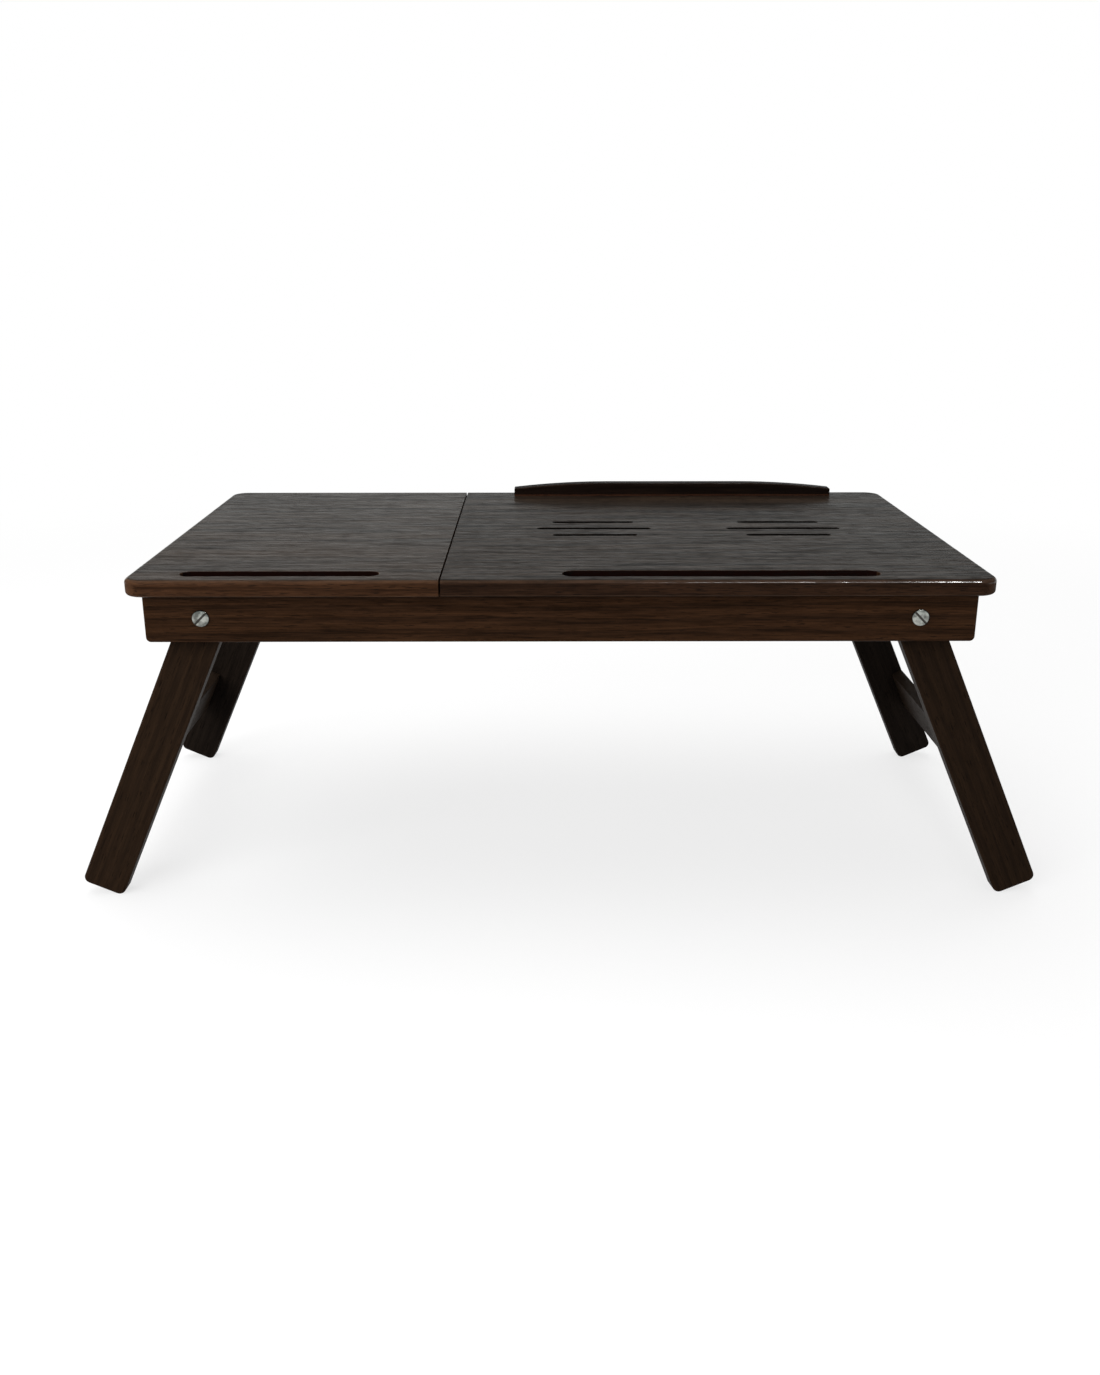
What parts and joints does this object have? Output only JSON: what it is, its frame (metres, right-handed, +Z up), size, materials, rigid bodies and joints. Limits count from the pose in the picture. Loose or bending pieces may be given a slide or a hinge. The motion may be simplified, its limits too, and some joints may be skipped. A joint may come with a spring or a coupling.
{
  "type": "laptop table",
  "caption": "Low folding lap table in stained wood with splayed legs that fold flat, a tilting top panel with stop strip and air slots, a fixed side panel and holder grooves.",
  "frame": {"origin": "on the floor, under the middle of the top, with the legs open and the panel flat", "axes": "+X along the table towards the tilting panel, +Y from the groove edge to the stop strip edge, +Z up"},
  "size_m": [0.7176, 0.35, 0.2615],
  "materials": {
    "panel_wood": "dark brown stain under satin lacquer",
    "frame_wood": "dark brown stain under satin lacquer",
    "strip_wood": "near-black stain under satin lacquer",
    "dowel_wood": "plain beech",
    "bolt_steel": "bright plated steel",
    "hinge_steel": "zinc-plated steel",
    "bail_wire": "plated steel wire"
  },
  "bodies": {
    "frame": {"front_rail": "frame_wood", "rear_rail": "frame_wood", "left_end_rail": "frame_wood", "right_end_rail": "frame_wood", "centre_rail": "frame_wood", "seam_batten": "frame_wood", "fixed_panel": "panel_wood", "corner_dowels": "dowel_wood", "centre_rail_dowels": "dowel_wood", "fixed_panel_dowels": "dowel_wood", "pivot_bolts": "bolt_steel", "pivot_washers": "bolt_steel", "pivot_nuts": "bolt_steel", "rail_hinge_leaves": "hinge_steel", "hinge_pins": "hinge_steel", "rail_leaf_screws": "hinge_steel"},
    "tilting_top": {"tilting_panel": "panel_wood", "stop_strip": "strip_wood", "panel_hinge_leaves": "hinge_steel", "panel_leaf_screws": "hinge_steel", "stop_strip_screws": "hinge_steel", "bail_saddles": "hinge_steel", "bail_saddle_screws": "hinge_steel"},
    "prop": {"prop_bail": "bail_wire"},
    "left_legs": {"left_front_leg": "frame_wood", "left_rear_leg": "frame_wood", "left_stretcher": "frame_wood"},
    "right_legs": {"right_front_leg": "frame_wood", "right_rear_leg": "frame_wood", "right_stretcher": "frame_wood"}
  },
  "joints": [
    {"name": "left_leg_fold", "type": "hinge", "parent": "frame", "child": "left_legs", "pos_m": [-0.2498, 0, 0.2205], "axis": [0, -1, 0], "range_deg": [0, 114]},
    {"name": "right_leg_fold", "type": "hinge", "parent": "frame", "child": "right_legs", "pos_m": [0.2498, 0, 0.2205], "axis": [0, 1, 0], "range_deg": [0, 114]},
    {"name": "panel_tilt", "type": "hinge", "parent": "frame", "child": "tilting_top", "pos_m": [0, 0.1658, 0.2355], "axis": [-1, 0, 0], "range_deg": [0, 34]},
    {"name": "prop_swing", "type": "hinge", "parent": "tilting_top", "child": "prop", "pos_m": [0, 0.043, 0.2353], "axis": [1, 0, 0], "range_deg": [0, 68]}
  ],
  "couplings": [
    {"joint": "prop_swing", "follows": "panel_tilt", "ratio": 2}
  ]
}
